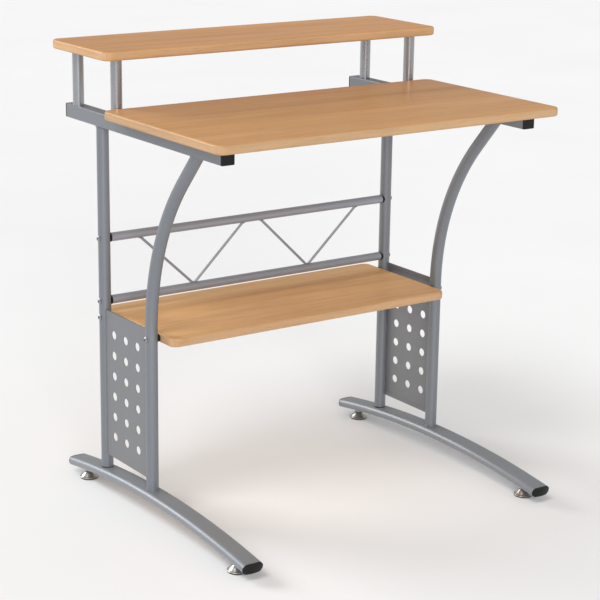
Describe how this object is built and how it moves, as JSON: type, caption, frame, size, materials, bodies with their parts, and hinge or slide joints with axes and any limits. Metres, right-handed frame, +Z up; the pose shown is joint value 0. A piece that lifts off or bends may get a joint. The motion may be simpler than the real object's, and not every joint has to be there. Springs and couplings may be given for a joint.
{
  "type": "computer desk",
  "caption": "Compact tubular-steel computer desk with wood-effect desktop, raised rear shelf, fixed low shelf, perforated side panels, arched feet and screw-adjustable glides.",
  "frame": {"origin": "middle of the footprint, on the floor, with the glides fully screwed in", "axes": "+X to the right seen from the user's side, +Y from front to back, +Z up"},
  "size_m": [0.715, 0.6092, 0.822],
  "materials": {
    "laminate": "satin beech-effect laminate with a fine grain along X",
    "powder_coat": "grey powder coat, satin",
    "black_plastic": "moulded, lightly textured",
    "zinc": "zinc-plated",
    "nickel": "nickel-plated, polished",
    "glide_pad": "smooth black"
  },
  "bodies": {
    "frame": {"desktop": "laminate", "raised_shelf": "laminate", "low_shelf": "laminate", "left_top_rail": "powder_coat", "right_top_rail": "powder_coat", "left_rear_post": "powder_coat", "right_rear_post": "powder_coat", "left_front_leg": "powder_coat", "right_front_leg": "powder_coat", "left_side_panel": "powder_coat", "right_side_panel": "powder_coat", "left_foot_bar": "powder_coat", "right_foot_bar": "powder_coat", "rail_cap_front_left": "black_plastic", "rail_cap_front_right": "black_plastic", "rail_cap_rear_left": "black_plastic", "rail_cap_rear_right": "black_plastic", "foot_cap_front_left": "black_plastic", "foot_cap_front_right": "black_plastic", "foot_cap_rear_left": "black_plastic", "foot_cap_rear_right": "black_plastic", "upper_brace_tube": "powder_coat", "lower_brace_tube": "powder_coat", "brace_rod_left_outer": "powder_coat", "brace_rod_left_inner": "powder_coat", "brace_rod_right_inner": "powder_coat", "brace_rod_right_outer": "powder_coat", "brace_collars": "black_plastic", "brace_inserts": "zinc", "brace_bolts": "zinc", "raised_post_front_left": "powder_coat", "raised_post_front_right": "powder_coat", "raised_post_rear_left": "powder_coat", "raised_post_rear_right": "powder_coat", "raised_post_bushes": "black_plastic", "raised_post_bolts": "zinc", "raised_shelf_inserts": "zinc", "desktop_screws": "zinc", "desktop_inserts": "zinc", "low_shelf_bolts": "zinc", "low_shelf_spacers": "black_plastic", "low_shelf_inserts": "zinc", "foot_gaskets": "black_plastic", "foot_nuts": "zinc", "foot_bolts": "zinc", "glide_nuts": "zinc"},
    "glide_front_left": {"glide_base_front_left": "nickel", "glide_pad_front_left": "glide_pad"},
    "stud_front_left": {"glide_stud_front_left": "nickel"},
    "glide_front_right": {"glide_base_front_right": "nickel", "glide_pad_front_right": "glide_pad"},
    "stud_front_right": {"glide_stud_front_right": "nickel"},
    "glide_rear_left": {"glide_base_rear_left": "nickel", "glide_pad_rear_left": "glide_pad"},
    "stud_rear_left": {"glide_stud_rear_left": "nickel"},
    "glide_rear_right": {"glide_base_rear_right": "nickel", "glide_pad_rear_right": "glide_pad"},
    "stud_rear_right": {"glide_stud_rear_right": "nickel"}
  },
  "joints": [
    {"name": "level_front_left", "type": "slide", "parent": "frame", "child": "glide_front_left", "axis": [0, 0, 1], "range_m": [-0.008, 0]},
    {"name": "turn_front_left", "type": "hinge", "parent": "glide_front_left", "child": "stud_front_left", "pos_m": [-0.3145, -0.254, 0.01], "axis": [0, 0, 1], "range_deg": [-2304, 0]},
    {"name": "level_front_right", "type": "slide", "parent": "frame", "child": "glide_front_right", "axis": [0, 0, 1], "range_m": [-0.008, 0]},
    {"name": "turn_front_right", "type": "hinge", "parent": "glide_front_right", "child": "stud_front_right", "pos_m": [0.3145, -0.254, 0.01], "axis": [0, 0, 1], "range_deg": [-2304, 0]},
    {"name": "level_rear_left", "type": "slide", "parent": "frame", "child": "glide_rear_left", "axis": [0, 0, 1], "range_m": [-0.008, 0]},
    {"name": "turn_rear_left", "type": "hinge", "parent": "glide_rear_left", "child": "stud_rear_left", "pos_m": [-0.3145, 0.2585, 0.01], "axis": [0, 0, 1], "range_deg": [-2304, 0]},
    {"name": "level_rear_right", "type": "slide", "parent": "frame", "child": "glide_rear_right", "axis": [0, 0, 1], "range_m": [-0.008, 0]},
    {"name": "turn_rear_right", "type": "hinge", "parent": "glide_rear_right", "child": "stud_rear_right", "pos_m": [0.3145, 0.2585, 0.01], "axis": [0, 0, 1], "range_deg": [-2304, 0]}
  ],
  "couplings": [
    {"joint": "turn_front_left", "follows": "level_front_left", "rad_per_m": 5026.5},
    {"joint": "turn_front_right", "follows": "level_front_right", "rad_per_m": 5026.5},
    {"joint": "turn_rear_left", "follows": "level_rear_left", "rad_per_m": 5026.5},
    {"joint": "turn_rear_right", "follows": "level_rear_right", "rad_per_m": 5026.5}
  ]
}
